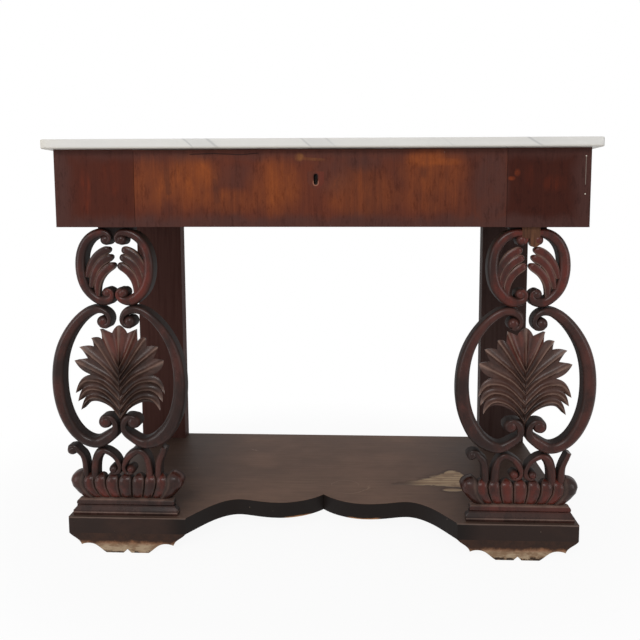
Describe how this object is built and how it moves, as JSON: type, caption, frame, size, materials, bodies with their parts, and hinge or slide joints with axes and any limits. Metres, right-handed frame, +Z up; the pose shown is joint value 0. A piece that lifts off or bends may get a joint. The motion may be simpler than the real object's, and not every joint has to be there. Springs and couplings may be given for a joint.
{
  "type": "pier table",
  "caption": "Pier table with a marble top, a locking frieze drawer, pierced carved scroll supports, rear pilasters and a serpentine lower shelf.",
  "frame": {"origin": "on the floor under the middle of the table", "axes": "+X to the right seen from the front, +Y to the back, +Z up"},
  "size_m": [1.2116, 0.49, 0.927],
  "materials": {
    "marble": "polished",
    "veneer": "worn varnish",
    "carving": "dark worn varnish",
    "shelf_veneer": "dusty veneer",
    "foot_wood": "worn varnish",
    "pilaster_wood": "dark stain",
    "repair_wood": "bare",
    "inlay": "worn varnish",
    "lock_iron": "aged",
    "bolt_brass": "aged",
    "inner_wood": "bare aged"
  },
  "bodies": {
    "frame": {"marble_top": "marble", "frieze_end_left": "veneer", "frieze_end_right": "veneer", "frieze_side_left": "veneer", "frieze_side_right": "veneer", "frieze_back": "inner_wood", "bottom_rail": "inner_wood", "top_rail": "inner_wood", "drawer_runner_left": "inner_wood", "drawer_runner_right": "inner_wood", "drawer_guide_left": "inner_wood", "drawer_guide_right": "inner_wood", "drawer_kicker_left": "inner_wood", "drawer_kicker_right": "inner_wood", "drawer_stops": "inner_wood", "corner_blocks": "inner_wood", "shelf": "shelf_veneer", "front_foot_left": "foot_wood", "front_foot_right": "foot_wood", "rear_foot_left": "inner_wood", "rear_foot_right": "inner_wood", "rear_pilaster_left": "pilaster_wood", "rear_pilaster_right": "pilaster_wood", "upper_scroll_left": "carving", "upper_scroll_right": "carving", "oval_scroll_left": "carving", "oval_scroll_right": "carving", "scroll_gallery_left": "carving", "scroll_gallery_right": "carving", "gadroon_basket_left": "carving", "gadroon_basket_right": "carving", "base_moulding_left": "carving", "base_moulding_right": "carving", "palmette_left": "carving", "palmette_right": "carving", "repair_block": "repair_wood", "support_dowels": "inner_wood"},
    "drawer": {"drawer_front": "veneer", "drawer_side_left": "inner_wood", "drawer_side_right": "inner_wood", "drawer_back": "inner_wood", "drawer_bottom": "inner_wood", "keyhole_shield": "inlay", "lock_plate": "lock_iron", "lock_cap": "lock_iron", "key_pin": "lock_iron", "lock_screws": "lock_iron"},
    "bolt": {"lock_bolt": "bolt_brass"}
  },
  "joints": [
    {"name": "drawer_slide", "type": "slide", "parent": "frame", "child": "drawer", "axis": [0, -1, 0], "range_m": [0, 0.3]},
    {"name": "bolt_slide", "type": "slide", "parent": "drawer", "child": "bolt", "axis": [0, 0, 1], "range_m": [0, 0.009]}
  ]
}
